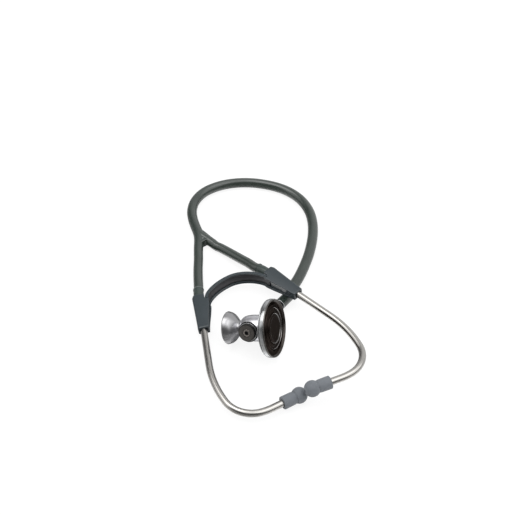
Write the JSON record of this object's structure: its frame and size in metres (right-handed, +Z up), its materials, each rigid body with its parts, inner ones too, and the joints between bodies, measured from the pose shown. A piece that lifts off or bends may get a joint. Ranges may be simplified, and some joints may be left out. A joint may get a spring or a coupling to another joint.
{
  "type": "stethoscope",
  "caption": "Acoustic stethoscope with a spring yoke headset, Y-shaped tubing and a turning bell and diaphragm chestpiece, lying on a table.",
  "frame": {"origin": "on the table under the middle of the headset and chestpiece, the tubing left out", "axes": "+Z up, +Y along the headset from the ear tips to the yoke, +X to the side of the tubing's loop"},
  "size_m": [0.1709, 0.2646, 0.0448],
  "materials": {
    "yoke_plastic": "satin blue-grey",
    "spring_steel": "dark spring steel",
    "tubing": "glossy soft PVC, dark green-grey",
    "polished_steel": "polished",
    "ear_tip": "matte blue-grey",
    "satin_steel": "satin",
    "chrome": "polished",
    "diaphragm": "glossy dark resin",
    "dark_metal": "satin dark",
    "seal": "matte"
  },
  "bodies": {
    "headset": {"yoke_arch": "yoke_plastic", "leaf_spring": "spring_steel", "main_tube": "tubing", "tube_fork": "tubing", "left_leg": "tubing", "right_leg": "tubing", "stem": "chrome", "stem_ring": "chrome", "front_oring": "seal", "rear_oring": "seal", "cap_washer": "chrome", "retaining_cap": "dark_metal", "retaining_screw": "dark_metal"},
    "head": {"head_block": "satin_steel", "bell": "satin_steel", "diaphragm_housing": "chrome", "diaphragm": "diaphragm", "diaphragm_rim": "chrome", "detent_ball": "spring_steel", "detent_spring": "spring_steel", "detent_plug": "dark_metal"},
    "left_arm": {"left_sleeve": "yoke_plastic", "left_cuff": "tubing"},
    "right_arm": {"right_sleeve": "yoke_plastic", "right_cuff": "tubing"},
    "left_ear": {"left_ear_tube": "polished_steel", "left_ear_tip": "ear_tip"},
    "right_ear": {"right_ear_tube": "polished_steel", "right_ear_tip": "ear_tip"}
  },
  "joints": [
    {"name": "head_turn", "type": "hinge", "parent": "headset", "child": "head", "pos_m": [-0.0087, 0.00305, 0.01828], "axis": [0.7133, 0.5322, -0.4561], "continuous": true},
    {"name": "left_spread", "type": "hinge", "parent": "headset", "child": "left_arm", "pos_m": [-0.0119, 0.0623, 0.008], "axis": [0, 0, -1], "range_deg": [0, 32], "stiffness_Nm_per_rad": 0.8, "deforming": ["yoke_arch", "leaf_spring", "left_leg"]},
    {"name": "right_spread", "type": "hinge", "parent": "headset", "child": "right_arm", "pos_m": [0.0141, 0.0623, 0.011], "axis": [0, 0, 1], "range_deg": [0, 32], "stiffness_Nm_per_rad": 0.8, "deforming": ["yoke_arch", "leaf_spring", "right_leg"]},
    {"name": "left_ear_twist", "type": "hinge", "parent": "left_arm", "child": "left_ear", "pos_m": [-0.02596, 0.0679, 0.0062], "axis": [0.3156, 0.9488, -0.0157], "range_deg": [0, 15]},
    {"name": "right_ear_twist", "type": "hinge", "parent": "right_arm", "child": "right_ear", "pos_m": [0.02904, 0.0615, 0.0134], "axis": [-0.2855, 0.9576, -0.0384], "range_deg": [0, 15]}
  ]
}
